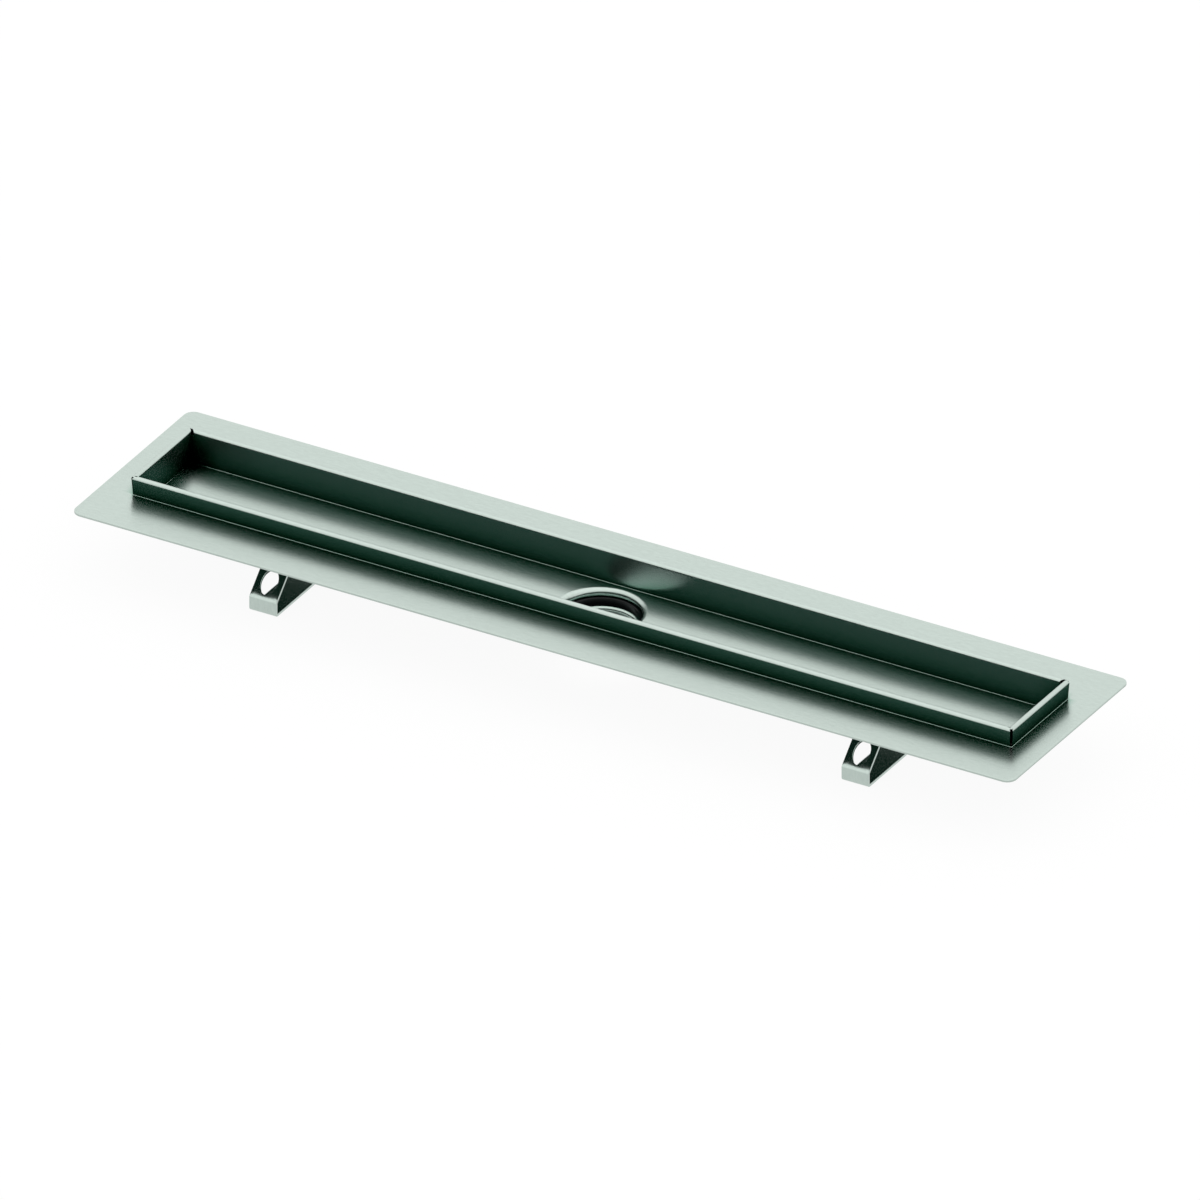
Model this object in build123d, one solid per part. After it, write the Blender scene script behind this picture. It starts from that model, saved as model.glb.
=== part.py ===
from build123d import *
from math import atan2, degrees, hypot, pi, sqrt, tan
import os

# Linear shower drain: a trough folded from stainless sheet, with a raised frame, a wide sealing flange, an
# outlet in the middle and two brackets. Millimetres, +X along the channel, +Z up. The origin lies under the
# middle of the outlet, on the floor that the brackets stand on.

# The channel's sheet and its folds
sheet = 1.5
bend_radius = 0.5  # inside radius of a sharp fold
fold_lap = 0.5  # flat strip beside a fold, where it runs into the plain sheet
hem_gap = 0.6  # room inside the fold along the top of the frame
hem_gap_at_base = 0.2  # the frame's two walls nearly meet at the flange
crown_flat = 0.1  # flat left along the top of the fold

# Flange, frame and trough
flange_length = 700.0
flange_corner = 7.0
end_margin = 22.4  # flange beyond the frame at each end
side_margin = 39.3  # flange beyond the frame along each side
mounting_height = 50.0  # top of the flange above the floor
frame_height = 13.3  # top of the frame above the flange
trough_depth = 10.5  # floor of the trough below the top of the flange
floor_land = 2.9  # flat floor between the outlet's drawn edge and the trough wall
corner_slot = 1.9  # open joint between the frame's outer walls at each corner
relief_diameter = 1.8  # relief hole at each inner corner, where the top folds meet
relief_depth = 3.0

# Outlet: collar drawn from the floor, socket welded round it, rubber seal inside
draw_radius = 2.1  # underside radius of the drawn edge
collar_straight = 1.4
weld_gap = 0.1
socket_ledge = 5.4  # from the spigot's bore out to the socket's wall
shoulder_radius = 2.5  # where that ledge turns down into the spigot
spigot_diameter = 50.0
spigot_length = 8.6  # below the ledge that the seal lies on
seal_height = 5.7
seal_play = 0.2  # room between the seal and the end of the collar
seal_clearance = 0.15
seal_setback = 1.8  # of the seal's bore from the spigot's bore
seal_lead_in = 1.7

# Brackets
bracket_inset = 129.7  # from the end of the flange to the middle of the strap
strap = 2.0
strap_width = 20.0
strap_bend = 0.5
foot_width = 107.2
lip_height = 10.7
top_width = 51.6  # across the two folds under the trough
tab_length = 12.0
anchor_hole_width = 11.8
anchor_hole_length = 17.2
anchor_hole_rise = 12.2  # up the slope, from the lip's fold to the hole's middle

# Levels, from the floor up
crown_level = mounting_height + frame_height
floor_top = mounting_height - trough_depth
floor_under = floor_top - sheet
collar_end = floor_under - draw_radius - collar_straight
socket_top = floor_under - draw_radius
seal_top = collar_end - seal_play
socket_floor = seal_top - seal_height
spigot_end = socket_floor - spigot_length

# Radii of the outlet, from the spigot outwards
spigot_bore_radius = spigot_diameter / 2 - sheet
socket_radius = spigot_bore_radius + socket_ledge
collar_radius = socket_radius - weld_gap - sheet
drawn_edge = draw_radius + sheet
seal_radius = socket_radius - seal_clearance
seal_bore_radius = spigot_bore_radius + seal_setback

# Plan sizes
rim_width = 2 * sheet + hem_gap
base_width = 2 * sheet + hem_gap_at_base
fold_reach = bend_radius + fold_lap
flange_start = base_width + fold_reach  # outwards from the trough wall
relief_offset = relief_diameter / 4  # of the relief hole's middle, outwards from the inner corner
trough_width = 2 * (collar_radius + drawn_edge + floor_land)
trough_length = flange_length - 2 * (end_margin + rim_width)
flange_width = trough_width + 2 * (rim_width + side_margin)
bracket_x = flange_length / 2 - bracket_inset

# Side of a line that a sheet's thickness lies on
LEFT, RIGHT = 1, -1


def bent_sheet(face_points, fold_radii, thickness, side):
    """Section of a bent sheet, from the line of one face and the radius of each fold on that face.

    The other face's runs are moved over by the thickness, to the left (side 1) or to the right (side -1), and
    meet at the mitres. Its folds are tighter where the line turns towards that side, and wider elsewhere."""
    points = [Vector(*point) for point in face_points]
    runs = [(end - begin).normalized() for begin, end in zip(points, points[1:])]
    steps = [Vector(-run.Y, run.X) * side for run in runs]
    back_points = [points[0] + steps[0] * thickness]
    back_radii = []
    for corner, radius in enumerate(fold_radii):
        before, after = steps[corner], steps[corner + 1]
        back_points.append(points[corner + 1] + (before + after) * (thickness / (1 + before.dot(after))))
        turns_to_side = runs[corner].cross(runs[corner + 1]).Z * side > 0
        back_radii.append(radius - thickness if turns_to_side else radius + thickness)
    back_points.append(points[-1] + steps[-1] * thickness)
    face = FilletPolyline(*points, radius=fold_radii)
    back = FilletPolyline(*back_points, radius=back_radii)
    ends = [Line(points[0], back_points[0]), Line(points[-1], back_points[-1])]
    return make_face(face.edges() + back.edges() + ends)


def frame_section():
    """Section of trough wall and frame, across from the wall's inner face and up from the flange.

    The wall rises from the floor, turns over at the top and comes down outside, leaning in a little, to fold
    out into the flange."""
    lean = atan2(rim_width - base_width, frame_height)
    crown_radius = (rim_width - crown_flat) / (1 + tan(pi / 4 + lean / 2))
    face_points = [
        (-fold_reach, -trough_depth),
        (0, -trough_depth),
        (0, frame_height),
        (rim_width, frame_height),
        (base_width, 0),
        (flange_start, 0),
    ]
    fold_radii = [bend_radius, crown_radius, crown_radius, bend_radius]
    return bent_sheet(face_points, fold_radii, sheet, RIGHT)


def mitred_side(half_run, distance):
    """One side of frame and trough, along X at y = -distance, cut at 45 degrees at both corners."""
    inner, outer = fold_reach, flange_start
    start = Plane((0, -distance, mounting_height), x_dir=(0, -1, 0), z_dir=(-1, 0, 0))
    side = extrude(start * frame_section(), half_run + outer, both=True)
    plan = Polyline(
        (inner - half_run, inner - distance),
        (half_run - inner, inner - distance),
        (half_run + outer, -distance - outer),
        (-half_run - outer, -distance - outer),
        close=True,
    )
    mitre = Pos(0, 0, floor_under) * extrude(make_face(plan), crown_level - floor_under)
    return side & mitre


def corner_cuts():
    """Slots between the outer walls and relief holes at the inner corners, at all four corners."""
    slot_run = sqrt(2) * (flange_start - sheet)
    cuts = []
    for turn_x in (1, -1):
        for turn_y in (1, -1):
            corner = Pos(turn_x * trough_length / 2, turn_y * trough_width / 2, 0)
            outward = Rot(0, 0, degrees(atan2(turn_y, turn_x)))
            slot = Pos(sqrt(2) * sheet, 0, mounting_height) * Box(
                slot_run, corner_slot, frame_height, align=(Align.MIN, Align.CENTER, Align.MIN)
            )
            relief = Pos(relief_offset, 0, crown_level - relief_depth) * Cylinder(
                relief_diameter / 2, relief_depth, align=(Align.CENTER, Align.CENTER, Align.MIN)
            )
            cuts += [corner * outward * slot, corner * outward * relief]
    return cuts


def make_channel_body():
    """Folded sheet: frame and trough walls carried round the trough, with flange, floor and drawn collar."""
    front = mitred_side(trough_length / 2, trough_width / 2)
    end = Rot(0, 0, 90) * mitred_side(trough_width / 2, trough_length / 2)
    walls = front + mirror(front, about=Plane.XZ) + end + mirror(end, about=Plane.YZ)

    flange_outline = RectangleRounded(flange_length, flange_width, flange_corner)
    flange_opening = Rectangle(trough_length + 2 * flange_start, trough_width + 2 * flange_start)
    flange = Pos(0, 0, mounting_height - sheet) * extrude(flange_outline - flange_opening, sheet)

    collar_reach = collar_radius + drawn_edge + fold_lap
    floor_outline = Rectangle(trough_length - 2 * fold_reach, trough_width - 2 * fold_reach)
    floor = Pos(0, 0, floor_under) * extrude(floor_outline - Circle(collar_reach), sheet)

    collar_line = [(collar_reach, floor_top), (collar_radius, floor_top), (collar_radius, collar_end)]
    collar_section = bent_sheet(collar_line, [drawn_edge], sheet, LEFT)
    collar = revolve(Plane.XZ * collar_section, Axis.Z)
    return walls + flange + floor + collar - corner_cuts()


def make_outlet_socket():
    """Drawn cup round the collar, with a ledge for the seal and a rounded shoulder into the spigot."""
    shoulder = (spigot_bore_radius, socket_floor)
    outline = Polyline(
        (spigot_bore_radius, spigot_end),
        shoulder,
        (socket_radius, socket_floor),
        (socket_radius, socket_top),
        (socket_radius + sheet, socket_top),
        (socket_radius + sheet, socket_floor - sheet),
        (spigot_bore_radius + sheet, socket_floor - sheet),
        (spigot_bore_radius + sheet, spigot_end),
        close=True,
    )
    section = make_face(outline)
    section = fillet(section.vertices().sort_by_distance(shoulder)[0], shoulder_radius)
    return revolve(Plane.XZ * section, Axis.Z)


def make_outlet_seal():
    """Rubber ring on the socket's ledge, with a lead-in under the collar."""
    outline = Polyline(
        (seal_bore_radius, socket_floor),
        (seal_radius, socket_floor),
        (seal_radius, seal_top),
        (seal_bore_radius + seal_lead_in, seal_top),
        (seal_bore_radius, seal_top - seal_lead_in),
        close=True,
    )
    return revolve(Plane.XZ * make_face(outline), Axis.Z)


def make_bracket():
    """Strap bent to a foot: flat base, upright lips, sloping legs with an oval hole, tabs under the trough."""
    foot, top = foot_width / 2, top_width / 2
    outer_line = [
        (-top + tab_length, floor_under),
        (-top, floor_under),
        (-foot, lip_height),
        (-foot, 0),
        (foot, 0),
        (foot, lip_height),
        (top, floor_under),
        (top - tab_length, floor_under),
    ]
    section = bent_sheet(outer_line, [strap + strap_bend] * 6, strap, LEFT)
    bracket = extrude(Plane.YZ * section, strap_width / 2, both=True)

    slope_run, slope_rise = foot - top, floor_under - lip_height
    slope_length = hypot(slope_run, slope_rise)
    up_slope = (0, slope_run / slope_length, slope_rise / slope_length)
    out_of_slope = (0, -up_slope[2], up_slope[1])
    middle = (0, -foot + anchor_hole_rise * up_slope[1], lip_height + anchor_hole_rise * up_slope[2])
    hole_plane = Plane(middle, x_dir=(1, 0, 0), z_dir=out_of_slope)
    oval = Ellipse(anchor_hole_width / 2, anchor_hole_length / 2)
    hole = extrude(hole_plane * oval, 2 * strap, both=True)
    return bracket - hole - mirror(hole, about=Plane.XZ)


bracket = make_bracket()
nodes = {
    "channel_body": make_channel_body(),
    "outlet_socket": make_outlet_socket(),
    "outlet_seal": make_outlet_seal(),
    "mounting_bracket_left": Pos(-bracket_x, 0, 0) * bracket,
    "mounting_bracket_right": Pos(bracket_x, 0, 0) * bracket,
}
os.makedirs("parts", exist_ok=True)
for name, node in nodes.items():
    export_step(node, f"parts/{name}.step")
    print(name, len(node.solids()), "solid", round(node.volume), "mm3", node.bounding_box().size)
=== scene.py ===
# %% [markdown]
# # A linear shower drain in satin stainless steel
#
# The object is a channel for the floor of a shower. One stainless sheet is folded into a long trough with a
# raised frame round it and a wide flange outside the frame. A collar is drawn down out of the floor of the
# trough, a socket with a rubber seal sits round that collar, and two bent straps carry the channel.
#
# The solids arrive ready made, at their real size. This lesson gives each of them a finer skin, worked out
# with numpy, and then the finish, the light and the camera.

# %% Load the solids
import math

import bmesh
import bpy
import numpy as np
from mathutils import Matrix, Vector


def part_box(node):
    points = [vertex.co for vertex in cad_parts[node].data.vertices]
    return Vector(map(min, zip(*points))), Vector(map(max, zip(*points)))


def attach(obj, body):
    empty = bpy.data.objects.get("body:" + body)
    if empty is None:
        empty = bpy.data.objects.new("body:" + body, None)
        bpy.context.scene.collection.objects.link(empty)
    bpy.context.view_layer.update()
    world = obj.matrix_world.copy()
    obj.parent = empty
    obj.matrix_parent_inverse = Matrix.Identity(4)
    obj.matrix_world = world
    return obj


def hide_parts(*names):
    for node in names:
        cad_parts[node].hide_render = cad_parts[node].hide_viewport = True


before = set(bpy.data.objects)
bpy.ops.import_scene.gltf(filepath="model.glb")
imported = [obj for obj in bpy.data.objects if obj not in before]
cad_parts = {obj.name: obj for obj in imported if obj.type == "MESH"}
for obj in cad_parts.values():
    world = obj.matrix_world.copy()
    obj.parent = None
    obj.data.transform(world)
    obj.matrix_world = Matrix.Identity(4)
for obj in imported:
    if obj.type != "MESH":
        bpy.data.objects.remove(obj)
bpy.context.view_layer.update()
print("solids:", ", ".join(sorted(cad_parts)))

# %% [markdown]
# ## Sizes
#
# Blender counts in metres. Sheet metal is thought of in millimetres, so every size here is in millimetres
# and a mesh is scaled once, when it is made. The outer sizes are read from the solids. Only what a box can't
# tell, such as the thickness of the sheet or the radius of a fold, is written down.

# %% Outer sizes, read from the solids
MM = 0.001


def node_box(name):
    """Lowest and highest corner of a solid, in millimetres."""
    return tuple(np.array(corner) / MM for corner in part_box(name))


channel_low, channel_high = node_box("channel_body")
socket_low, socket_high = node_box("outlet_socket")
seal_low, seal_high = node_box("outlet_seal")
bracket_low, bracket_high = node_box("mounting_bracket_right")

flange_half = channel_high[:2]
crown_level = channel_high[2]
print("flange", 2 * flange_half.round(1), "mm, top of the frame at", crown_level.round(1), "mm")

# %% Sizes of the folded sheet
SHEET = 1.5
BEND = 0.3  # inside radius of a sharp fold
FOLD_LAP = 0.5  # flat strip beside a fold
CROWN_FLAT = 0.1  # flat left along the top fold
RIM_WIDTH = 4.0  # frame across its top fold
BASE_WIDTH = 3.2  # frame where it meets the flange
FRAME_HEIGHT = 13.3
TROUGH_DEPTH = 10.5  # floor of the trough below the flange
END_MARGIN, SIDE_MARGIN = 22.0, 38.9  # flange beyond the frame
FLANGE_CORNER = 7.0
CUT_EDGE = 0.2  # worn radius of a cut edge

flange_level = crown_level - FRAME_HEIGHT
floor_level = flange_level - TROUGH_DEPTH
trough_half = flange_half - RIM_WIDTH - np.array([END_MARGIN, SIDE_MARGIN])
fold_reach = BEND + FOLD_LAP
flange_start = BASE_WIDTH + fold_reach
print("trough", 2 * trough_half.round(1), "mm inside, floor at", floor_level.round(1), "mm")

# %% [markdown]
# ## Lines with rounded corners
#
# A fold in sheet metal is an arc between two straight runs. A Bevel modifier could round the edges of a
# finished mesh, but a fold has one radius on its inside and a larger one on its outside, so here the section
# is rounded before there is a mesh. If its points are held as complex numbers, a quarter turn is a
# multiplication by 1j and the angle between two runs is the angle of their quotient, so that the whole line
# is rounded with a few array operations and no loop. The back of the sheet is the same line, moved over by
# the thickness. Every corner gets the same count of points on both sides of the sheet, so that the two lines
# can be joined point by point.

# %% Rounded lines
ARC_STEPS = 12
EDGE_STEPS = 4


def directions(points):
    """Unit vector of each run between neighbouring points."""
    runs = np.diff(points)
    return runs / np.abs(runs)


def rounded_line(points, radii, steps=ARC_STEPS):
    """An open line with each inner corner replaced by an arc of steps + 1 points.

    The arc starts where the run into the corner is still radius * tan(turn / 2) long. Its centre lies a
    radius to the side of that point, and the arc is the spoke from centre to start, turned step by step."""
    points = np.asarray(points, complex)
    runs = directions(points)
    turn = np.angle(runs[1:] / runs[:-1])
    radii = np.broadcast_to(radii, turn.shape)
    start = points[1:-1] - runs[:-1] * radii * np.tan(np.abs(turn) / 2)
    centre = start + 1j * np.sign(turn) * runs[:-1] * radii
    share = np.linspace(0, 1, steps + 1)
    arcs = centre[:, None] + (start - centre)[:, None] * np.exp(1j * turn[:, None] * share)
    return np.concatenate([points[:1], arcs.ravel(), points[-1:]])


def rounded_ring(points, radii, steps=EDGE_STEPS):
    """A closed line with all its corners rounded: an open line that goes round and one corner further."""
    points = np.asarray(points, complex)
    again = np.concatenate([points[-1:], points, points[:1]])
    return rounded_line(again, radii, steps)[1:-1]


# %% Both faces of the frame's section
def back_of_sheet(points, radii, thickness, side):
    """Corners and radii of the sheet's other face, to the left (side 1) or the right (side -1) of a line.

    A corner moves along the sum of the two sideways steps, divided by 1 + the cosine between them. A fold
    that turns towards the other face is tighter there by the thickness, and one that turns away is wider."""
    points = np.asarray(points, complex)
    runs = directions(points)
    steps = 1j * side * runs
    cosine = (steps[:-1] * steps[1:].conj()).real
    corners = points[1:-1] + (steps[:-1] + steps[1:]) * thickness / (1 + cosine)
    ends = points[[0, -1]] + steps[[0, -1]] * thickness
    turn = np.angle(runs[1:] / runs[:-1])
    return np.concatenate([ends[:1], corners, ends[1:]]), radii - side * np.sign(turn) * thickness


lean = math.atan2(RIM_WIDTH - BASE_WIDTH, FRAME_HEIGHT)
crown_radius = (RIM_WIDTH - CROWN_FLAT) / (1 + math.tan(math.pi / 4 + lean / 2))
frame_corners = np.array([
    -fold_reach - 1j * TROUGH_DEPTH,
    -1j * TROUGH_DEPTH,
    1j * FRAME_HEIGHT,
    RIM_WIDTH + 1j * FRAME_HEIGHT,
    BASE_WIDTH,
    flange_start,
])
frame_radii = np.array([BEND, crown_radius, crown_radius, BEND])
frame_top = rounded_line(frame_corners, frame_radii)
frame_under = rounded_line(*back_of_sheet(frame_corners, frame_radii, SHEET, -1))
print("frame section:", len(frame_top), "points on each face, top fold", round(crown_radius, 2), "mm")

# %% [markdown]
# ## Meshes from grids
#
# Every skin here is a grid: rows along a section, columns along a path. The faces of a grid follow from its
# shape alone, so one function makes them as an array of indices. A grid that closes on itself wraps round in
# that direction. The mesh is filled from the arrays, turned to face outwards and shaded smooth, with edges
# sharper than a set angle left crisp.

# %% From a grid to a piece
SHARP_ANGLE = math.radians(32)


def grid_faces(index, wrap_rows=False, wrap_columns=False):
    """Quads of a grid of vertex numbers, as an array of rows x columns x 4."""
    if wrap_rows:
        index = np.vstack([index, index[:1]])
    if wrap_columns:
        index = np.hstack([index, index[:, :1]])
    return np.stack([index[:-1, :-1], index[:-1, 1:], index[1:, 1:], index[1:, :-1]], axis=-1)


def strip(line_a, line_b):
    """Quads between two lines of vertex numbers."""
    return grid_faces(np.stack([line_a, line_b])).reshape(-1, 4)


def make_piece(name, points, faces):
    """A smooth-shaded object on the body, from points in millimetres and a list of faces."""
    mesh = bpy.data.meshes.new(name)
    mesh.from_pydata((np.asarray(points) * MM).tolist(), [], faces)
    work = bmesh.new()
    work.from_mesh(mesh)
    bmesh.ops.recalc_face_normals(work, faces=work.faces)
    work.to_mesh(mesh)
    work.free()
    mesh.shade_smooth()
    mesh.set_sharp_from_angle(angle=SHARP_ANGLE)
    piece = bpy.data.objects.new(name, mesh)
    bpy.context.scene.collection.objects.link(piece)
    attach(piece, "root")
    print(name, len(mesh.vertices), "points,", len(mesh.polygons), "faces")
    return piece


# %% [markdown]
# ## The channel
#
# The real channel is one sheet, so its skin is one grid too. It could be extruded side by side and cut at the
# corners, but a single grid keeps every fold at its own radius and leaves no seam to close. Its columns run
# round the trough, and its rows follow the section of the sheet: from the floor up the trough wall, over the
# top fold, down to the flange, round the flange's cut edge, and back along the underside to the collar.
#
# What changes from row to row is the plan of the loop. Round the frame it is a rectangle that grows outwards
# with the section. At the flange's edge it is a rectangle with rounded corners, and at the collar a circle.
# A column keeps its side of the trough all the way, so the loops join without twisting.

# %% Columns round the trough
CORNER_SLOT = 1.9
RELIEF_LENGTH = 2.1
OUTLET_STEPS = 72  # along a long side, at even angles round the outlet
END_STEPS = 5
slot_offset = CORNER_SLOT / 2 * math.sqrt(2)
# distances of columns from a corner, closer together where the slot and the relief are cut
corner_offsets = np.array([0.15, 0.3, 0.5, 0.75, 1.1, slot_offset, RELIEF_LENGTH])
corner_rank = np.arange(1, len(corner_offsets) + 1)

floor_half = trough_half - fold_reach
clear_of_corners = floor_half - 2 * flange_start
long_angle = np.linspace(-1, 1, OUTLET_STEPS + 1) * math.atan2(clear_of_corners[0], floor_half[1])
long_places = floor_half[1] * np.tan(long_angle)
short_places = np.linspace(-1, 1, END_STEPS) * clear_of_corners[1]


def side_columns(number, places):
    """Columns of one side: number of the side, the corner it is measured from, distance, rank in the corner.

    A column near a corner keeps its distance from that corner as the loop grows. The others keep their place
    along the side. The last column of a side is the corner itself, of rank 0."""
    near = len(corner_offsets)
    anchor = np.repeat([-1, 0, 1], [near, len(places), near + 1])
    distance = np.concatenate([corner_offsets, places, -corner_offsets[::-1], [0]])
    rank = np.concatenate([corner_rank, np.zeros(len(places), int), corner_rank[::-1], [0]])
    return np.stack([np.full(len(anchor), number), anchor, distance, rank])


sides = [side_columns(number, long_places if number % 2 == 0 else short_places) for number in range(4)]
side, anchor, distance, rank = np.hstack(sides)
side = side.astype(int)
corner_columns = np.cumsum([block.shape[1] for block in sides]) - 1
along_axis, across_axis = side % 2, 1 - side % 2
heading = 1j ** side
print("columns round the trough:", len(side), "with corners at", corner_columns)


# %% Loops in plan, as complex numbers
def rectangle_loop(outwards):
    """Loops that stand this far outside the trough wall: along the side, and a quarter turn across it."""
    outwards = np.reshape(outwards, (-1, 1))
    along = distance + anchor * (trough_half[along_axis] + outwards)
    across = trough_half[across_axis] + outwards
    return (along - 1j * across) * heading


def outline_loop(inset):
    """Loops this far inside the flange's edge, with each corner's columns spread over a quarter circle.

    The outermost column of a corner goes straight out from the frame. The next starts the arc, and the
    corner's own column lies at 45 degrees."""
    inset = np.reshape(inset, (-1, 1))
    half_along, half_across = flange_half[along_axis], flange_half[across_axis]
    angle = math.pi / 4 * (1 - rank / (corner_rank[-1] - 1))
    arc = (FLANGE_CORNER - inset) * np.exp(1j * angle)
    straight = distance + anchor * (trough_half[along_axis] + flange_start)
    on_arc = (anchor != 0) & (rank < corner_rank[-1])
    along = np.where(on_arc, anchor * (half_along - FLANGE_CORNER + arc.imag), straight)
    across = np.where(on_arc, half_across - FLANGE_CORNER + arc.real, half_across - inset)
    return (along - 1j * across) * heading


def circle_loop(radius):
    """Circles round the outlet, with each column at the angle that it has on the trough's floor."""
    return np.reshape(radius, (-1, 1)) * np.exp(1j * np.angle(rectangle_loop(-fold_reach)))


# %% Sections of the flange's edge and of the collar
COLLAR_RADIUS = 27.3
DRAW_RADIUS = 2.1  # underside radius of the drawn edge
FLANGE_EDGE_LAP = 2.0
drawn_edge = DRAW_RADIUS + SHEET
collar_reach = COLLAR_RADIUS + drawn_edge + FOLD_LAP
collar_end = channel_low[2]

flange_edge = rounded_line(
    [FLANGE_EDGE_LAP, 0, -1j * SHEET, FLANGE_EDGE_LAP - 1j * SHEET], CUT_EDGE, EDGE_STEPS
)
collar = rounded_line(
    np.array([
        collar_reach + 1j * (floor_level - SHEET),
        COLLAR_RADIUS + SHEET + 1j * (floor_level - SHEET),
        COLLAR_RADIUS + SHEET + 1j * collar_end,
        COLLAR_RADIUS + 1j * collar_end,
        COLLAR_RADIUS + 1j * floor_level,
        collar_reach + 1j * floor_level,
    ]),
    np.array([DRAW_RADIUS, CUT_EDGE, CUT_EDGE, drawn_edge]),
)
print("collar:", len(collar), "points, down to", collar_end.round(1), "mm")

# %% Rows of the channel
RELIEF_DEPTH = 3.0
# one more row in the wall, where the reliefs begin
relief_row = ARC_STEPS + 2
relief_height = 1j * (FRAME_HEIGHT - RELIEF_DEPTH)
frame_top = np.insert(frame_top, relief_row, relief_height)
frame_under = np.insert(frame_under, relief_row, SHEET + relief_height)

plan = np.vstack([
    rectangle_loop(frame_top.real),
    outline_loop(flange_edge.real),
    rectangle_loop(frame_under.real[::-1]),
    circle_loop(collar.real),
])
height = np.concatenate([
    frame_top.imag + flange_level,
    flange_edge.imag + flange_level,
    frame_under.imag[::-1] + flange_level,
    collar.imag,
])
channel_points = np.stack([plan.real, plan.imag, np.broadcast_to(height[:, None], plan.shape)], axis=-1)
channel_index = np.arange(plan.size).reshape(plan.shape)
print("channel grid:", plan.shape[0], "rows x", plan.shape[1], "columns")

# %% [markdown]
# ### Open corners
#
# Four walls can't be folded up out of one sheet without cutting its corners. The walls meet at the corners,
# but the outer walls leave a narrow open slot there, and the top fold of each long side is notched inside
# the corner, so that it can turn over beside the end's fold. A Boolean modifier could cut both, at the price
# of untidy faces. Here the slot is a gap in the grid: faces are left out on both skins, and short strips join
# the two skins round the gap, so that the cut shows the thickness of the sheet. The notch, a relief, leaves
# out faces of the upper skin alone, and a sunk copy of them takes their place.

# %% Slots
SLOT_START_STEP = 4  # of the outer crown's arc
outer_crown_row = relief_row + ARC_STEPS + 2
base_fold_row = outer_crown_row + ARC_STEPS + 1
under_end = len(frame_top) + len(flange_edge) + len(frame_under) - 1
column_count = plan.shape[1]
keep = np.ones(plan.shape, bool)
joins = []


def border_lines(first_row, last_row, columns):
    """Rows and columns of the four border lines of a block of the grid."""
    rows = np.arange(first_row, last_row + 1)
    ends = [np.s_[first_row, columns], np.s_[last_row, columns]]
    return ends + [np.s_[rows, columns[0]], np.s_[rows, columns[-1]]]


def cut_slot(first_row, last_row, columns):
    """Leaves out the faces between these rows and columns on both skins, and joins the skins round the gap.

    The row of the lower skin that lies under a row of the upper one is counted back from the last."""
    keep[first_row:last_row, columns[:-1]] = False
    keep[under_end - last_row : under_end - first_row, columns[:-1]] = False
    for rows, places in border_lines(first_row, last_row, columns):
        joins.append(strip(channel_index[rows, places], channel_index[under_end - rows, places]))


def columns_near(corner, before, after):
    """Columns from this many before a corner to this many after it, counted round the loop."""
    return np.arange(corner - before, corner + after + 1) % column_count


slot_reach = len(corner_offsets) - 1
for corner in corner_columns:
    slot_columns = columns_near(corner, slot_reach, slot_reach)
    cut_slot(outer_crown_row + SLOT_START_STEP, base_fold_row, slot_columns)
print("slots:", len(corner_columns), "from row", outer_crown_row + SLOT_START_STEP, "to row", base_fold_row)

# %% Reliefs
RELIEF_END_STEP = 1  # of the outer crown's arc
RELIEF_SHARE = 0.75  # of the sheet's thickness
sunk_points = []


def sink_relief(first_row, last_row, columns):
    """Sinks a block of the upper skin into the sheet, by a share of the way to the lower skin."""
    rows = np.arange(first_row, last_row + 1)
    upper = channel_points[rows[:, None], columns]
    lower = channel_points[under_end - rows[:, None], columns]
    block_size = len(rows) * len(columns)
    first_number = channel_index.size + len(sunk_points) * block_size
    sunk_points.append((upper + (lower - upper) * RELIEF_SHARE).reshape(-1, 3))
    sunk_index = first_number + np.arange(block_size).reshape(len(rows), len(columns))
    keep[first_row:last_row, columns[:-1]] = False
    joins.append(grid_faces(sunk_index).reshape(-1, 4))
    block_lines = border_lines(0, len(rows) - 1, np.arange(len(columns)))
    for line, block_line in zip(border_lines(first_row, last_row, columns), block_lines):
        joins.append(strip(channel_index[line], sunk_index[block_line]))


relief_reach = len(corner_offsets)
for number, corner in enumerate(corner_columns):
    ends_long_side = number % 2 == 0
    reach = (relief_reach, 0) if ends_long_side else (0, relief_reach)
    sink_relief(relief_row, outer_crown_row + RELIEF_END_STEP, columns_near(corner, *reach))
print("reliefs:", len(sunk_points), "of", len(sunk_points[0]), "points each")

# %% The channel's skin
channel_faces = grid_faces(channel_index, wrap_rows=True, wrap_columns=True)[keep]
all_points = np.vstack([channel_points.reshape(-1, 3), *sunk_points])
channel = make_piece("channel_skin", all_points, np.vstack([channel_faces, *joins]).tolist())
# the recess attribute marks the sunk reliefs, whose colour the steel paints black as shade
recess = channel.data.attributes.new("recess", "FLOAT", "POINT")
recess.data.foreach_set("value", (np.arange(len(all_points)) >= channel_index.size).astype(float))
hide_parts("channel_body")

# %% [markdown]
# ## Socket and seal
#
# Both are rings. A Screw modifier could turn their sections, and the grid does the same here: a closed
# section is carried once round the outlet's axis. The socket is drawn from sheet, so every corner of its
# section is an arc, large at the shoulder that leads the water into the spigot. The seal is a soft ring with
# a slanted lead-in at the top.

# %% Turned rings
RING_STEPS = 160


def turned_ring(name, section):
    """A closed section, radius + 1j * height, carried round the upright axis."""
    angle = np.linspace(0, 2 * math.pi, RING_STEPS, endpoint=False)
    plan = section.real[:, None] * np.exp(1j * angle)
    points = np.stack([plan.real, plan.imag, np.broadcast_to(section.imag[:, None], plan.shape)], axis=-1)
    faces = grid_faces(np.arange(plan.size).reshape(plan.shape), wrap_rows=True, wrap_columns=True)
    return make_piece(name, points.reshape(-1, 3), faces.reshape(-1, 4).tolist())


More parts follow.
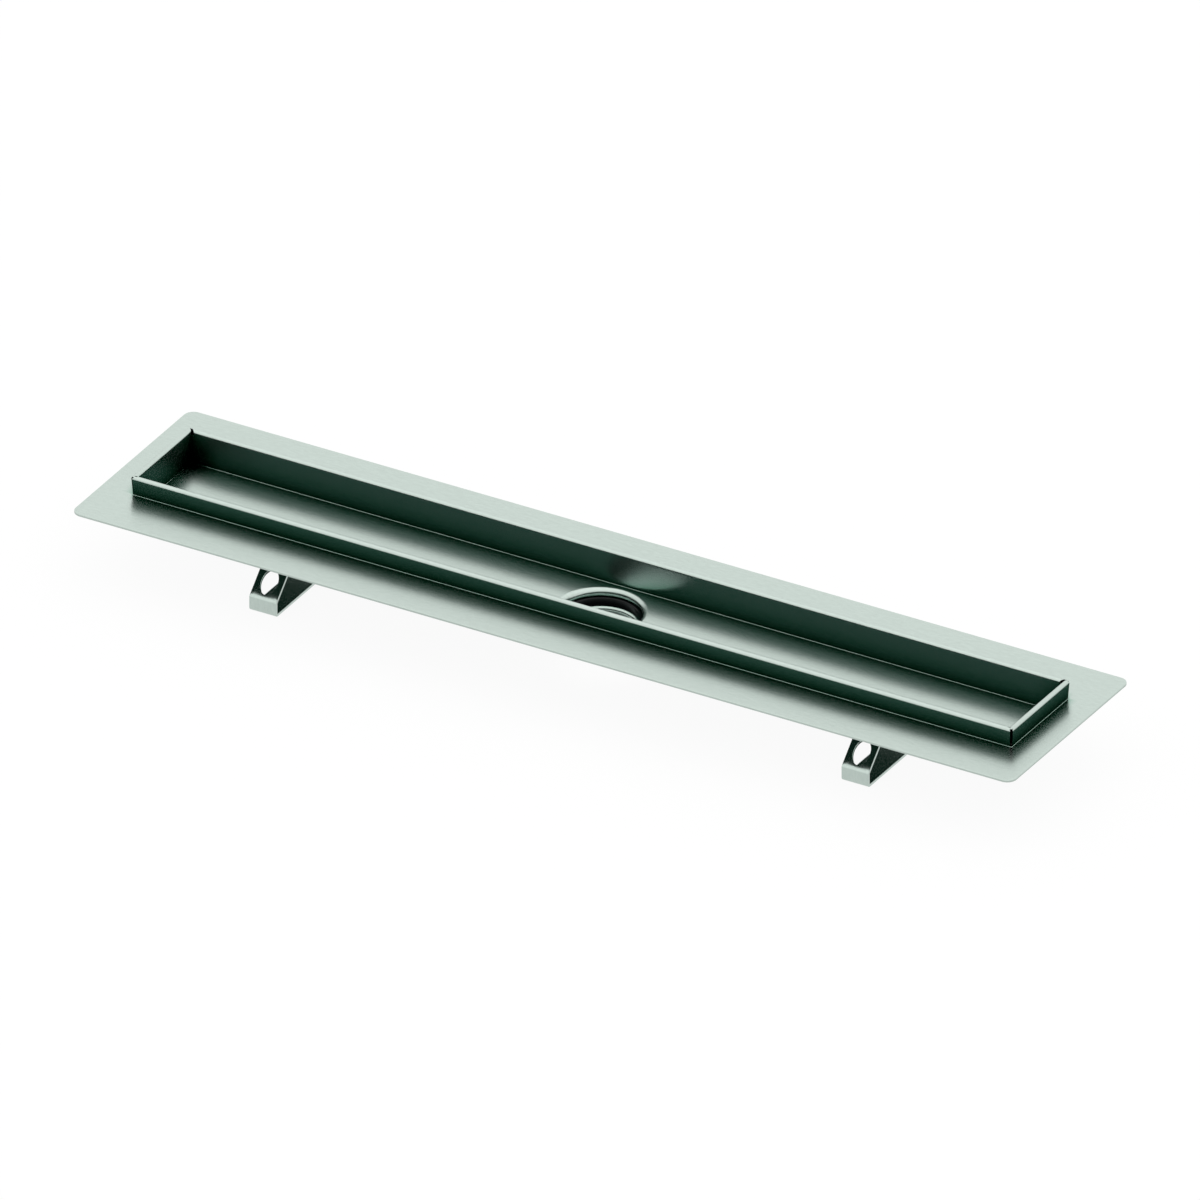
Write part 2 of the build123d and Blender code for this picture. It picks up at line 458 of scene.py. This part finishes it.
# %% Socket
SPIGOT_BORE = 23.5  # radius
SHOULDER_RADIUS = 2.5
DRAWN_CORNER = 0.8
socket_radius, socket_top, spigot_end = socket_high[0], socket_high[2], socket_low[2]
ledge_level = seal_low[2]
socket_section = rounded_ring(
    [
        SPIGOT_BORE + 1j * spigot_end,
        SPIGOT_BORE + 1j * ledge_level,
        socket_radius - SHEET + 1j * ledge_level,
        socket_radius - SHEET + 1j * socket_top,
        socket_radius + 1j * socket_top,
        socket_radius + 1j * (ledge_level - SHEET),
        SPIGOT_BORE + SHEET + 1j * (ledge_level - SHEET),
        SPIGOT_BORE + SHEET + 1j * spigot_end,
    ],
    [CUT_EDGE, SHOULDER_RADIUS, CUT_EDGE, CUT_EDGE, CUT_EDGE, DRAWN_CORNER, CUT_EDGE, CUT_EDGE],
    ARC_STEPS,
)
socket = turned_ring("socket_skin", socket_section)
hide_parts("outlet_socket")

# %% Seal
SEAL_BORE = 25.3  # radius
SEAL_LEAD_IN = 0.5
SEAL_EDGE = 0.2
seal_radius, seal_top = seal_high[0], seal_high[2]
seal_section = rounded_ring(
    [
        SEAL_BORE + 1j * ledge_level,
        seal_radius + 1j * ledge_level,
        seal_radius + 1j * seal_top,
        SEAL_BORE + SEAL_LEAD_IN + 1j * seal_top,
        SEAL_BORE + 1j * (seal_top - SEAL_LEAD_IN),
    ],
    SEAL_EDGE,
)
seal = turned_ring("seal_ring", seal_section)
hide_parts("outlet_seal")

# %% [markdown]
# ## Mounting brackets
#
# A bracket is a strip of steel, bent to a foot: tabs under the trough, sloping legs, upright lips and a flat
# base. A bevelled curve could give the strip, but not its holes. So its skin is the strip's own section, a
# flat rectangle with slightly worn edges, carried along the bent line. Each leg has an oval hole. There the
# grid of the leg is left out and rings take its place: from the edge of the leg to the oval, through the
# thickness, and out again to the edge on the other face.

# %% The bent line of the strap
STRAP = 2.0
STRAP_BEND = 0.5
TOP_WIDTH = 51.6
LIP_HEIGHT = 10.7
TAB_LENGTH = 12.0
BEND_STEPS = 8
LEG_STEPS = 16
foot, top, tab_level = bracket_high[1], TOP_WIDTH / 2, bracket_high[2]
half_line = np.array([
    top - TAB_LENGTH + 1j * tab_level,
    top + 1j * tab_level,
    foot + 1j * LIP_HEIGHT,
    foot,
])
strap_corners = np.concatenate([-half_line.conj(), half_line[::-1]])
strap_radii = np.full(len(strap_corners) - 2, STRAP + STRAP_BEND)
# the legs follow the first and the fifth bend
leg_starts = [(BEND_STEPS + 1) * bends for bends in (1, 5)]


def with_leg_rows(line):
    """The same line with evenly spaced points added along both legs, the later leg first."""
    share = np.arange(1, LEG_STEPS) / LEG_STEPS
    for leg in reversed(leg_starts):
        line = np.insert(line, leg + 1, line[leg] + (line[leg + 1] - line[leg]) * share)
    return line


strap_outer = with_leg_rows(rounded_line(strap_corners, strap_radii, BEND_STEPS))
strap_inner = with_leg_rows(rounded_line(*back_of_sheet(strap_corners, strap_radii, STRAP, 1), BEND_STEPS))
leg_rows = [leg_starts[0], leg_starts[1] + LEG_STEPS - 1]
print("strap line:", len(strap_outer), "rows, legs start at rows", leg_rows)

# %% The strap's section and grid
STRAP_EDGE = 0.25  # worn radius of its edges
FACE_STEPS = 16
strap_half = (bracket_high[0] - bracket_low[0]) / 2
face_half = strap_half - STRAP_EDGE
face_places = np.linspace(-face_half, face_half, FACE_STEPS + 1)[1:-1]
section_corners = [strap_half, strap_half + 1j * STRAP, -strap_half + 1j * STRAP, -strap_half]
edges = rounded_ring(section_corners, STRAP_EDGE).reshape(4, -1)
strap_section = np.concatenate([
    edges[3, -1:],
    face_places,
    edges[0],
    edges[1],
    face_places[::-1] + 1j * STRAP,
    edges[2],
    edges[3, :-1],
])
outer_columns = np.arange(FACE_STEPS + 1)
inner_columns = outer_columns[::-1] + FACE_STEPS + 2 * len(edges[0]) - 1

# a point lies between the outer and the inner line, in proportion to its depth in the section
depth_share = strap_section.imag / STRAP
strap_line = strap_outer[:, None] * (1 - depth_share) + strap_inner[:, None] * depth_share
strap_across = np.broadcast_to(strap_section.real, strap_line.shape)
strap_index = np.arange(strap_line.size).reshape(strap_line.shape)
print("strap grid:", strap_line.shape[0], "rows x", strap_line.shape[1], "columns")

# %% Oval holes
HOLE_WIDTH, HOLE_LENGTH = 11.8, 17.2
HOLE_RISE = 12.2  # up the slope, from the lip's fold to the hole's middle
HOLE_LAP = 0.3  # flat strip round the hole's worn edge
hole_reach = STRAP_EDGE + HOLE_LAP
hole_edge = rounded_line([hole_reach, 0, 1j * STRAP, hole_reach + 1j * STRAP], STRAP_EDGE, EDGE_STEPS)
hole_grow, hole_depth = hole_edge.real[:, None], hole_edge.imag[:, None]


def border_ring(rows, columns):
    """Row and column numbers once round the border of a block of the grid."""
    last_row, last_column = len(rows) - 1, len(columns) - 1
    row = np.concatenate([
        np.zeros(last_column + 1, int),
        np.arange(1, last_row + 1),
        np.full(last_column, last_row),
        np.arange(last_row - 1, 0, -1),
    ])
    column = np.concatenate([
        np.arange(last_column + 1),
        np.full(last_row, last_column),
        np.arange(last_column - 1, -1, -1),
        np.zeros(last_row - 1, int),
    ])
    return rows[row], columns[column]


def hole_rings(rows, border):
    """Points of the rings that line the hole of the leg in these rows.

    A point has the direction of the border point that it belongs to, seen from the hole's middle, on an oval
    that grows at both faces by the worn edge and the flat strip round it."""
    begin, end = strap_outer[rows[[0, -1]]]
    downwards = 1 if begin.imag > end.imag else -1
    slope = (end - begin) / abs(end - begin) * downwards
    lip_fold = math.copysign(foot, begin.real) + 1j * LIP_HEIGHT
    middle = lip_fold - slope * HOLE_RISE
    inwards = (strap_inner[rows[0]] - begin) / STRAP
    down_slope = ((strap_line[border] - middle) * slope.conjugate()).real
    turn = np.arctan2(down_slope / HOLE_LENGTH, strap_across[border] / HOLE_WIDTH)
    across = (HOLE_WIDTH / 2 + hole_grow) * np.cos(turn)
    line = middle + slope * (HOLE_LENGTH / 2 + hole_grow) * np.sin(turn) + inwards * hole_depth
    return np.stack([across, line.real, line.imag], axis=-1)


# %% Grid and holes joined
strap_kept = np.ones((len(strap_line) - 1, strap_line.shape[1]), bool)
strap_points = [np.stack([strap_across, strap_line.real, strap_line.imag], axis=-1).reshape(-1, 3)]
hole_faces = []
for first_row in leg_rows:
    rows = np.arange(first_row, first_row + LEG_STEPS + 1)
    strap_kept[rows[:-1, None], outer_columns[:-1]] = False
    strap_kept[rows[:-1, None], inner_columns[1:]] = False
    border, back_border = border_ring(rows, outer_columns), border_ring(rows, inner_columns)
    ring_points = hole_rings(rows, border)
    ring_size = ring_points.shape[0] * ring_points.shape[1]
    first_number = strap_line.size + len(hole_faces) * ring_size
    ring_index = first_number + np.arange(ring_size).reshape(ring_points.shape[:2])
    strap_points.append(ring_points.reshape(-1, 3))
    rings = np.vstack([strap_index[border], ring_index, strap_index[back_border]])
    hole_faces.append(grid_faces(rings, wrap_columns=True).reshape(-1, 4))

strap_ends = [strap_index[0].tolist(), strap_index[-1].tolist()]
strap_sides = grid_faces(strap_index, wrap_columns=True)[strap_kept]
strap_faces = np.vstack([strap_sides, *hole_faces]).tolist() + strap_ends
print("strap with", len(hole_faces), "holes:", len(strap_faces), "faces")


# %% Both brackets
def make_bracket(name, node, middle):
    """The strap, moved along the channel to its place."""
    bracket = make_piece(name, np.vstack(strap_points) + [middle, 0, 0], strap_faces)
    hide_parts(node)
    return bracket


bracket_x = (bracket_low[0] + bracket_high[0]) / 2
brackets = [
    make_bracket("bracket_strap_left", "mounting_bracket_left", -bracket_x),
    make_bracket("bracket_strap_right", "mounting_bracket_right", bracket_x),
]

# %% [markdown]
# ## Materials
#
# Colours are written as they look on a screen and turned into the linear values that the shader counts with.
# One small function adds a node with its settings and links.


# %% Colour and node helpers
def linear(hex_colour):
    """Linear red, green, blue and alpha from an sRGB hex value."""
    channels = np.array([int(hex_colour[place : place + 2], 16) for place in (1, 3, 5)]) / 255
    values = np.where(channels <= 0.04045, channels / 12.92, ((channels + 0.055) / 1.055) ** 2.4)
    return (*values.tolist(), 1.0)


def add_node(tree, kind, inputs=(), **settings):
    """Adds a node; inputs pairs each socket with a value, or with a socket to link from."""
    node = tree.nodes.new(kind)
    for key, value in settings.items():
        setattr(node, key, value)
    for key, value in dict(inputs).items():
        if isinstance(value, bpy.types.NodeSocket):
            tree.links.new(value, node.inputs[key])
        else:
            node.inputs[key].default_value = value
    return node


def new_material(name):
    """An empty material and its node tree."""
    material = bpy.data.materials.new(name)
    material.use_nodes = True
    material.node_tree.nodes.clear()
    return material, material.node_tree


# %% [markdown]
# ### Satin stainless sheet
#
# Cold-rolled stainless steel leaves the mill with a fine, even satin surface. It is still a metal, so all its
# light is reflection, slightly blurred. The blur decides how softly a wall fades out in the flange beside it.
# A very fine grain, drawn out along the sheet and about as coarse as a pixel so that it shows at all, breaks
# up the reflections.
#
# The trough's floor falls a little from its walls towards the middle. The fall is too slight to show as a
# shape, but it turns the reflections, so it is a bump that grows with the distance from the walls.
#
# Light that leaves a fold has met steel several times, and steel keeps more of its green than of its red each
# time. Tracing all those bounces would be slow and noisy. Here that shade is painted into the colour instead:
# the colour is multiplied by how open a place is, raised to a power of its own for red, green and blue, so
# that a fold turns dark green before it turns black. Faces that look up count as open sooner and get less
# painted shade, and the sunk reliefs, marked by an attribute, are painted black as shade.


# %% Fall of the trough's floor
FLOOR_FALL, END_FALL = math.tan(math.radians(5.3)), math.tan(math.radians(1.5))
END_FALL_MM = 25.0
VALLEY_MM, END_VALLEY_MM = 6.0, 10.0


def floor_fall(tree, place):
    """Depth of the trough's floor, in metres, growing away from its walls.

    The depth is the slope times the distance to the nearer long wall, plus the end slope times the distance
    to the end wall, which stops growing a little way in. Both have a rounded valley."""
    half_x, half_y = (floor_half * MM).tolist()
    axis = add_node(tree, "ShaderNodeSeparateXYZ", {"Vector": place})
    size_x = add_node(tree, "ShaderNodeMath", {0: axis.outputs["X"]}, operation="ABSOLUTE")
    size_y = add_node(tree, "ShaderNodeMath", {0: axis.outputs["Y"]}, operation="ABSOLUTE")
    to_end = add_node(tree, "ShaderNodeMath", {0: half_x, 1: size_x.outputs[0]}, operation="SUBTRACT")
    to_near = add_node(tree, "ShaderNodeMath", {0: half_y, 1: size_y.outputs[0]}, operation="SUBTRACT")
    to_far = add_node(tree, "ShaderNodeMath", {0: half_y, 1: size_y.outputs[0]}, operation="ADD")
    across = add_node(tree, "ShaderNodeMath", {
        0: to_near.outputs[0], 1: to_far.outputs[0], 2: VALLEY_MM * MM,
    }, operation="SMOOTH_MIN")
    along = add_node(tree, "ShaderNodeMath", {
        0: to_end.outputs[0], 1: END_FALL_MM * MM, 2: END_VALLEY_MM * MM,
    }, operation="SMOOTH_MIN")
    end_drop = add_node(tree, "ShaderNodeMath", {0: along.outputs[0], 1: END_FALL}, operation="MULTIPLY")
    drop = add_node(tree, "ShaderNodeMath", {
        0: across.outputs[0], 1: FLOOR_FALL, 2: end_drop.outputs[0],
    }, operation="MULTIPLY_ADD")
    inside = add_node(tree, "ShaderNodeMath", {
        0: to_near.outputs[0], 1: to_end.outputs[0],
    }, operation="MINIMUM")
    on_floor = add_node(tree, "ShaderNodeMath", {0: inside.outputs[0], 1: 0.0}, operation="GREATER_THAN")
    return add_node(tree, "ShaderNodeMath", {
        0: drop.outputs[0], 1: on_floor.outputs[0],
    }, operation="MULTIPLY").outputs[0]


# %% Painted shade in the folds
# painted shade: the colour darkens within this distance, by how open a place is
FOLD_SHADE_MM, SHADE_SAMPLES = 22.0, 8
BLACK_AT, OPEN_AT, LEVEL_OPEN = 0.4, 0.92, 0.2
SHADE_POWER = (1.9, 1.0, 1.35)


def fold_shade(tree, only_local):
    """Painted shade: share of red, green and blue that the colour keeps, 0 deep in a fold, 1 on an open face.

    The open share of the space over a place is stretched to run from 0 to 1, which it reaches sooner on a
    face that looks up, set to 0 in a relief, painted black as shade, and raised to a power for each colour."""
    open_space = add_node(tree, "ShaderNodeAmbientOcclusion", {
        "Distance": FOLD_SHADE_MM * MM,
    }, samples=SHADE_SAMPLES, only_local=only_local)
    facing = add_node(tree, "ShaderNodeNewGeometry").outputs["Normal"]
    upward = add_node(tree, "ShaderNodeSeparateXYZ", {"Vector": facing}).outputs["Z"]
    level = add_node(tree, "ShaderNodeMath", {
        0: upward, 1: LEVEL_OPEN,
    }, operation="MULTIPLY", use_clamp=True)
    open_at = add_node(tree, "ShaderNodeMath", {0: OPEN_AT, 1: level.outputs[0]}, operation="SUBTRACT")
    shade = add_node(tree, "ShaderNodeMapRange", {
        "Value": open_space.outputs["AO"], "From Min": BLACK_AT, "From Max": open_at.outputs[0],
    })
    # in the reliefs the colour is painted black, as shade
    sunk = add_node(tree, "ShaderNodeAttribute", attribute_name="recess").outputs["Fac"]
    with_reliefs = add_node(tree, "ShaderNodeMapRange", {
        "Value": sunk, "To Min": shade.outputs["Result"], "To Max": 0.0,
    })
    return add_node(tree, "ShaderNodeVectorMath", {
        0: with_reliefs.outputs["Result"], 1: SHADE_POWER,
    }, operation="POWER").outputs["Vector"]


# %% Satin stainless
STEEL, STRAP_STEEL = "#C7D4CD", "#C7D5CE"
SHEET_ROUGHNESS, DRAWN_ROUGHNESS, STRAP_ROUGHNESS = 0.268, 0.24, 0.11
GRAIN_MM, GRAIN_DETAIL = 1.4, 2.0
GRAIN_LOW, GRAIN_HIGH = 0.3, 0.7
TONE_SPREAD, ROUGH_SPREAD = 0.03, 0.005
GRAIN_BUMP, GRAIN_HEIGHT_MM = 0.05, 0.05
ALONG_CHANNEL, ALONG_STRAP, EVEN = (0.3, 1, 1), (1, 0.3, 0.3), (1, 1, 1)


def satin_stainless(name, colour, roughness, stretch, falls=False, only_local=False):
    """Metal with a fine grain in tone, roughness and height, and painted shade in its folds.

    The grain is noise, drawn out where the stretch is below 1. A sheet that falls gets the floor's bump, and
    one that counts only itself gets painted shade from its own folds alone."""
    material, tree = new_material(name)
    place = add_node(tree, "ShaderNodeTexCoord").outputs["Object"]
    drawn_out = add_node(tree, "ShaderNodeVectorMath", {0: place, 1: stretch}, operation="MULTIPLY")
    grain = add_node(tree, "ShaderNodeTexNoise", {
        "Vector": drawn_out.outputs["Vector"], "Scale": 1 / (GRAIN_MM * MM), "Detail": GRAIN_DETAIL,
    }).outputs["Fac"]
    tone = add_node(tree, "ShaderNodeMapRange", {
        "Value": grain, "From Min": GRAIN_LOW, "From Max": GRAIN_HIGH,
        "To Min": 1 - TONE_SPREAD, "To Max": 1 + TONE_SPREAD,
    })
    grained = add_node(tree, "ShaderNodeVectorMath", {
        0: linear(colour)[:3], "Scale": tone.outputs["Result"],
    }, operation="SCALE")
    # the base colour with the painted shade of the folds multiplied in
    shaded_colour = add_node(tree, "ShaderNodeVectorMath", {
        0: grained.outputs["Vector"], 1: fold_shade(tree, only_local),
    }, operation="MULTIPLY")
    rough = add_node(tree, "ShaderNodeMapRange", {
        "Value": grain, "From Min": GRAIN_LOW, "From Max": GRAIN_HIGH,
        "To Min": roughness - ROUGH_SPREAD, "To Max": roughness + ROUGH_SPREAD,
    })
    bump = add_node(tree, "ShaderNodeBump", {
        "Height": grain, "Strength": GRAIN_BUMP, "Distance": GRAIN_HEIGHT_MM * MM,
    })
    if falls:
        bump = add_node(tree, "ShaderNodeBump", {
            "Height": floor_fall(tree, place), "Strength": 1.0, "Distance": 1.0,
            "Normal": bump.outputs["Normal"],
        }, invert=True)
    shader = add_node(tree, "ShaderNodeBsdfPrincipled", {
        "Base Color": shaded_colour.outputs["Vector"], "Metallic": 1.0, "Roughness": rough.outputs["Result"],
        "Normal": bump.outputs["Normal"],
    })
    add_node(tree, "ShaderNodeOutputMaterial", {"Surface": shader.outputs["BSDF"]})
    print("material", name)
    return material


# %% Steel on its pieces
sheet_steel = satin_stainless("satin_stainless_sheet", STEEL, SHEET_ROUGHNESS, ALONG_CHANNEL, falls=True)
drawn_steel = satin_stainless("satin_stainless_drawn", STEEL, DRAWN_ROUGHNESS, EVEN)
strap_steel = satin_stainless(
    "satin_stainless_strap", STRAP_STEEL, STRAP_ROUGHNESS, ALONG_STRAP, only_local=True
)
channel.data.materials.append(sheet_steel)
socket.data.materials.append(drawn_steel)
for piece in brackets:
    piece.data.materials.append(strap_steel)

# %% [markdown]
# ### Black rubber
#
# The seal is moulded from black rubber. Its colour is a neutral black that stands apart from the green-grey
# steel round it, and the mould leaves it a weak gloss with a very fine grain.

# %% Moulded rubber
RUBBER = "#030304"
RUBBER_GRAIN_MM, RUBBER_DETAIL = 0.4, 3.0
RUBBER_SMOOTH, RUBBER_ROUGH = 0.2, 0.3
RUBBER_GLOSS = 0.25
RUBBER_BUMP, RUBBER_HEIGHT_MM = 0.2, 0.05


def moulded_rubber(name, colour):
    """Black with a weak gloss and a fine moulded grain in roughness and height."""
    material, tree = new_material(name)
    place = add_node(tree, "ShaderNodeTexCoord").outputs["Object"]
    grain = add_node(tree, "ShaderNodeTexNoise", {
        "Vector": place, "Scale": 1 / (RUBBER_GRAIN_MM * MM), "Detail": RUBBER_DETAIL,
    }).outputs["Fac"]
    rough = add_node(tree, "ShaderNodeMapRange", {
        "Value": grain, "To Min": RUBBER_SMOOTH, "To Max": RUBBER_ROUGH,
    })
    bump = add_node(tree, "ShaderNodeBump", {
        "Height": grain, "Strength": RUBBER_BUMP, "Distance": RUBBER_HEIGHT_MM * MM,
    })
    shader = add_node(tree, "ShaderNodeBsdfPrincipled", {
        "Base Color": linear(colour), "Roughness": rough.outputs["Result"],
        "Specular IOR Level": RUBBER_GLOSS, "Normal": bump.outputs["Normal"],
    })
    add_node(tree, "ShaderNodeOutputMaterial", {"Surface": shader.outputs["BSDF"]})
    print("material", name)
    return material


seal.data.materials.append(moulded_rubber("moulded_black_rubber", RUBBER))

# %% [markdown]
# ## Light, floor and camera
#
# The object stands on a white floor under an even white light, a little stronger overhead. Lamps would
# leave bright spots in the steel, so there are none: the light comes from the world, and steel sees the floor
# as well. A flange shows the white round it, while a wall shows the flange or the floor of the trough, and so
# the reflection of a reflection. In the studio that second reflection comes from the dark side of the room,
# and the walls turn dark green. The world and the floor give that: rays that have met steel once still find
# white, and rays that have met it twice find the dark side.

# %% World
DARK_SIDE = "#405E58"
OVERHEAD, OVERHEAD_FROM, OVERHEAD_FULL = 1.2, 0.55, 0.95
# deepest rays that find white; the world counts the leg out to it as one more
WORLD_WHITE, FLOOR_WHITE = 2, 1


def seen_colour(tree, path, last_white, white, dark):
    """The first colour for rays up to this depth and for light on the floor, the second for all others."""
    deep = add_node(tree, "ShaderNodeMath", {
        0: path.outputs["Ray Depth"], 1: last_white + 0.5,
    }, operation="GREATER_THAN")
    again = add_node(tree, "ShaderNodeMath", {
        0: deep.outputs[0], 1: path.outputs["Is Diffuse Ray"],
    }, operation="SUBTRACT", use_clamp=True)
    return add_node(tree, "ShaderNodeMix", {
        "Factor": again.outputs[0], "A": white, "B": dark,
    }, data_type="RGBA").outputs["Result"]


world = bpy.data.worlds.new("studio")
world.use_nodes = True
world.cycles.sampling_method = "NONE"
tree = world.node_tree
tree.nodes.clear()
direction = add_node(tree, "ShaderNodeTexCoord").outputs["Generated"]
rise = add_node(tree, "ShaderNodeSeparateXYZ", {"Vector": direction}).outputs["Z"]
sky = add_node(tree, "ShaderNodeMapRange", {
    "Value": rise, "From Min": OVERHEAD_FROM, "From Max": OVERHEAD_FULL, "To Min": 1.0, "To Max": OVERHEAD,
})
path = add_node(tree, "ShaderNodeLightPath")
world_colour = seen_colour(tree, path, WORLD_WHITE, sky.outputs["Result"], linear(DARK_SIDE))
background = add_node(tree, "ShaderNodeBackground", {"Color": world_colour, "Strength": 1.0})
add_node(tree, "ShaderNodeOutputWorld", {"Surface": background.outputs["Background"]})
bpy.context.scene.world = world
print("world", world.name)

# %% [markdown]
# The camera sees the floor as plain white, with a small share of white paint that keeps the object's shadow.
# Steel sees it a little darker. Round the foot of the outlet a painted shadow stands for the channel's shade
# and makes it nearly black to the steel, and just outside that a painted green stands for light from the
# underside above it. From below the floor is clear, so that the underside can be looked at.

# %% White floor
# the dark floor colour is painted shade: the floor as rays that have met steel twice see it
WHITE, DARK_FLOOR = "#FFFFFF", "#20362F"
FLOOR_SHADOW = 0.06
# painted shadow on the floor round the outlet, as steel sees it
SHADED_GLOW, OPEN_GLOW = 0.04, 0.8
SHADED_MM, OPEN_MM, UNTINTED_MM = 40.0, 48.0, 90.0  # from the outlet's axis
# painted green light from the steel underside, on the floor near the outlet
PAINTED_UNDERSIDE_LIGHT = (1.04, 1.25, 1.2, 1.0)

floor_material, tree = new_material("white_floor")
path = add_node(tree, "ShaderNodeLightPath")
floor_colour = seen_colour(tree, path, FLOOR_WHITE, linear(WHITE), linear(DARK_FLOOR))
from_steel = path.outputs["Is Glossy Ray"]
paint = add_node(tree, "ShaderNodeBsdfDiffuse", {"Color": floor_colour})
spot = add_node(tree, "ShaderNodeTexCoord").outputs["Object"]
from_outlet = add_node(tree, "ShaderNodeVectorMath", {0: spot}, operation="LENGTH").outputs["Value"]
# painted shadow: to steel, the floor's glow fades to nearly black round the outlet
open_glow = add_node(tree, "ShaderNodeMapRange", {
    "Value": from_outlet, "From Min": SHADED_MM * MM, "From Max": OPEN_MM * MM,
    "To Min": SHADED_GLOW, "To Max": OPEN_GLOW,
}, interpolation_type="SMOOTHSTEP")
strength = add_node(tree, "ShaderNodeMapRange", {
    "Value": from_steel, "To Min": 1.0, "To Max": open_glow.outputs["Result"],
})
# painted light from the underside: a green tint that fades out away from the outlet
under_steel = add_node(tree, "ShaderNodeMapRange", {
    "Value": from_outlet, "From Min": OPEN_MM * MM, "From Max": UNTINTED_MM * MM,
    "To Min": from_steel, "To Max": 0.0,
})
glow_colour = add_node(tree, "ShaderNodeMix", {
    "Factor": under_steel.outputs["Result"], "A": floor_colour, "B": PAINTED_UNDERSIDE_LIGHT,
}, data_type="RGBA", blend_type="MULTIPLY")
glow = add_node(tree, "ShaderNodeEmission", {
    "Color": glow_colour.outputs["Result"], "Strength": strength.outputs["Result"],
})
shown = add_node(tree, "ShaderNodeMath", {
    0: path.outputs["Is Camera Ray"], 1: 1 - FLOOR_SHADOW, 2: from_steel,
}, operation="MULTIPLY_ADD")
lit = add_node(tree, "ShaderNodeMixShader", {
    "Fac": shown.outputs[0], 1: paint.outputs["BSDF"], 2: glow.outputs["Emission"],
})
from_below = add_node(tree, "ShaderNodeNewGeometry").outputs["Backfacing"]
clear = add_node(tree, "ShaderNodeBsdfTransparent")
surface = add_node(tree, "ShaderNodeMixShader", {
    "Fac": from_below, 1: lit.outputs["Shader"], 2: clear.outputs["BSDF"],
})
add_node(tree, "ShaderNodeOutputMaterial", {"Surface": surface.outputs["Shader"]})
print("material", floor_material.name)

# %% Floor
FLOOR_SIZE = 12.0  # metres

floor_mesh = bpy.data.meshes.new("floor")
corners = np.array([(-1, -1, 0), (1, -1, 0), (1, 1, 0), (-1, 1, 0)]) * FLOOR_SIZE / 2
floor_mesh.from_pydata(corners.tolist(), [], [(0, 1, 2, 3)])
floor_mesh.materials.append(floor_material)
floor = bpy.data.objects.new("floor", floor_mesh)
bpy.context.scene.collection.objects.link(floor)
print("floor", FLOOR_SIZE, "m square")

# %% [markdown]
# The photograph shows no perspective: parallel edges stay parallel. A long lens from far away comes close to
# that, and an orthographic camera does it exactly. Its scale is the width of the picture on the object, and
# its place follows from where the middle of the flange lies in the picture.

# %% Camera
PICTURE = 1200
MM_PER_PIXEL = 0.6438
AZIMUTH, ELEVATION = math.radians(30.07), math.radians(29.77)
FLANGE_MIDDLE_PIXEL = np.array([600.41, 596.11])
CAMERA_DISTANCE = 3.0  # metres

right = Vector((math.cos(AZIMUTH), math.sin(AZIMUTH), 0))
back = Vector((
    math.sin(AZIMUTH) * math.cos(ELEVATION),
    -math.cos(AZIMUTH) * math.cos(ELEVATION),
    math.sin(ELEVATION),
))
up = back.cross(right)
shift = (PICTURE / 2 - FLANGE_MIDDLE_PIXEL) * MM_PER_PIXEL * MM
target = Vector((0, 0, flange_level * MM)) + right * shift[0] - up * shift[1]
camera_data = bpy.data.cameras.new("camera")
camera_data.type = "ORTHO"
camera_data.ortho_scale = PICTURE * MM_PER_PIXEL * MM
camera = bpy.data.objects.new("camera", camera_data)
turn = Matrix((right, up, back)).transposed().to_4x4()
camera.matrix_world = Matrix.Translation(target + back * CAMERA_DISTANCE) @ turn
bpy.context.scene.collection.objects.link(camera)
bpy.context.scene.camera = camera
bpy.context.scene.view_settings.view_transform = "Standard"
print("picture covers", round(camera_data.ortho_scale, 4), "m")
